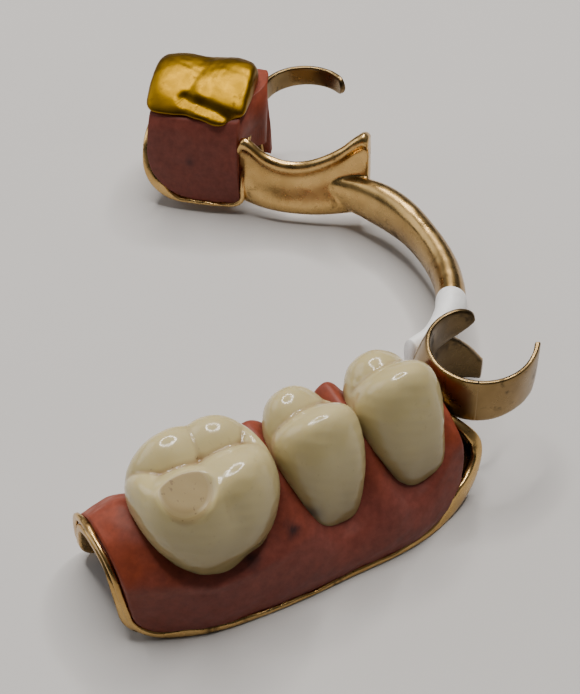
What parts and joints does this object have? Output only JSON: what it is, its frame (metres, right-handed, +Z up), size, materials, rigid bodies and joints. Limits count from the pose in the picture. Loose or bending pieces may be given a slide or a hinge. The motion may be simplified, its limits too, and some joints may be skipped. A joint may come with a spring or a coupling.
{
  "type": "lower partial denture",
  "caption": "Removable lower partial denture: gold saddles, lingual bar and spring clasps, red vulcanite gum, porcelain teeth and a gold molar crown.",
  "frame": {"origin": "middle of the bounding box's base, on the surface that the saddles rest on", "axes": "+X across the mouth to the patient's left, +Y towards the back of the mouth, +Z up to the biting surface"},
  "size_m": [0.061, 0.0376, 0.0143],
  "materials": {
    "plate_gold": "polished, worn",
    "clasp_gold": "polished, worn",
    "bar_gold": "polished, worn",
    "crown_gold": "polished",
    "vulcanite": "hard, satin",
    "porcelain": "glazed",
    "label_varnish": "matte"
  },
  "bodies": {
    "denture": {"right_base_plate": "plate_gold", "right_plate_rim": "plate_gold", "right_vulcanite_base": "vulcanite", "right_retention_loops": "plate_gold", "right_clasp_band": "clasp_gold", "right_lingual_plate": "plate_gold", "right_first_molar": "porcelain", "right_second_premolar": "porcelain", "right_first_premolar": "porcelain", "left_base_plate": "plate_gold", "left_plate_rim": "plate_gold", "left_vulcanite_block": "vulcanite", "left_gold_crown": "crown_gold", "left_crown_anchor": "plate_gold", "left_retention_loops": "plate_gold", "left_clasp_root": "clasp_gold", "left_lingual_plate": "plate_gold", "lingual_bar": "bar_gold", "catalogue_label": "label_varnish"},
    "right_buccal_arm": {"right_clasp_buccal_arm": "clasp_gold"},
    "right_lingual_arm": {"right_clasp_lingual_arm": "clasp_gold"},
    "left_buccal_arm": {"left_clasp_buccal_arm": "clasp_gold"}
  },
  "joints": [
    {"name": "right_buccal_flex", "type": "hinge", "parent": "denture", "child": "right_buccal_arm", "pos_m": [-0.01636, -0.01328, 0.008], "axis": [0, 0, -1], "range_deg": [-1.5, 3.5], "stiffness_Nm_per_rad": 0.2},
    {"name": "right_lingual_flex", "type": "hinge", "parent": "denture", "child": "right_lingual_arm", "pos_m": [-0.01065, -0.01032, 0.0086], "axis": [0, 0, 1], "range_deg": [-1.5, 3.5], "stiffness_Nm_per_rad": 0.2},
    {"name": "left_buccal_flex", "type": "hinge", "parent": "denture", "child": "left_buccal_arm", "pos_m": [0.02582, 0.00056, 0.0099], "axis": [0, 0, 1], "range_deg": [-1.5, 3.5], "stiffness_Nm_per_rad": 0.2}
  ]
}
